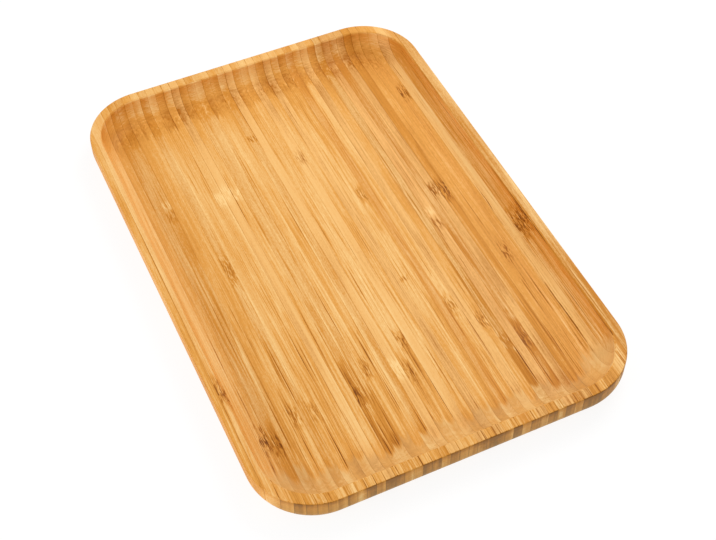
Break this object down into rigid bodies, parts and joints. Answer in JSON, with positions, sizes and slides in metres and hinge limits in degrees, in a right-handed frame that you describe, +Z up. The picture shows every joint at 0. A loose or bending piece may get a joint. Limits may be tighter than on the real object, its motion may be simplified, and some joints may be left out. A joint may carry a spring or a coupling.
{
  "type": "bamboo serving tray",
  "caption": "Rectangular serving tray of bamboo strips glued on edge, with rounded corners, a rounded foot, a flat rim and a shallow coved well.",
  "frame": {"origin": "middle of the flat underside, on the surface that the tray stands on", "axes": "+Y along the tray's length and the bamboo's grain, +X across the strips, +Z up out of the well"},
  "size_m": [0.225, 0.33, 0.018],
  "materials": {
    "bamboo_straw": "pale straw-coloured bamboo, oiled satin",
    "bamboo_honey": "honey-coloured bamboo, oiled satin",
    "bamboo_amber": "amber-coloured bamboo, oiled satin",
    "bamboo_toffee": "toffee-brown bamboo, oiled satin"
  },
  "bodies": {
    "root": {"left_strip_01": "bamboo_honey", "left_strip_02": "bamboo_honey", "left_strip_03": "bamboo_honey", "left_strip_04": "bamboo_honey", "left_strip_05": "bamboo_amber", "left_strip_06": "bamboo_amber", "left_strip_07": "bamboo_honey", "left_strip_08": "bamboo_honey", "left_strip_09": "bamboo_amber", "left_strip_10": "bamboo_honey", "left_strip_11": "bamboo_honey", "left_strip_12": "bamboo_honey", "left_strip_13": "bamboo_straw", "left_strip_14": "bamboo_honey", "left_strip_15": "bamboo_amber", "left_strip_16": "bamboo_amber", "left_strip_17": "bamboo_honey", "left_strip_18": "bamboo_honey", "left_strip_19": "bamboo_amber", "left_strip_20": "bamboo_straw", "left_strip_21": "bamboo_honey", "right_strip_21": "bamboo_honey", "right_strip_20": "bamboo_straw", "right_strip_19": "bamboo_honey", "right_strip_18": "bamboo_straw", "right_strip_17": "bamboo_honey", "right_strip_16": "bamboo_honey", "right_strip_15": "bamboo_amber", "right_strip_14": "bamboo_honey", "right_strip_13": "bamboo_straw", "right_strip_12": "bamboo_honey", "right_strip_11": "bamboo_toffee", "right_strip_10": "bamboo_straw", "right_strip_09": "bamboo_toffee", "right_strip_08": "bamboo_straw", "right_strip_07": "bamboo_amber", "right_strip_06": "bamboo_honey", "right_strip_05": "bamboo_honey", "right_strip_04": "bamboo_honey", "right_strip_03": "bamboo_straw", "right_strip_02": "bamboo_amber", "right_strip_01": "bamboo_toffee"}
  },
  "joints": []
}
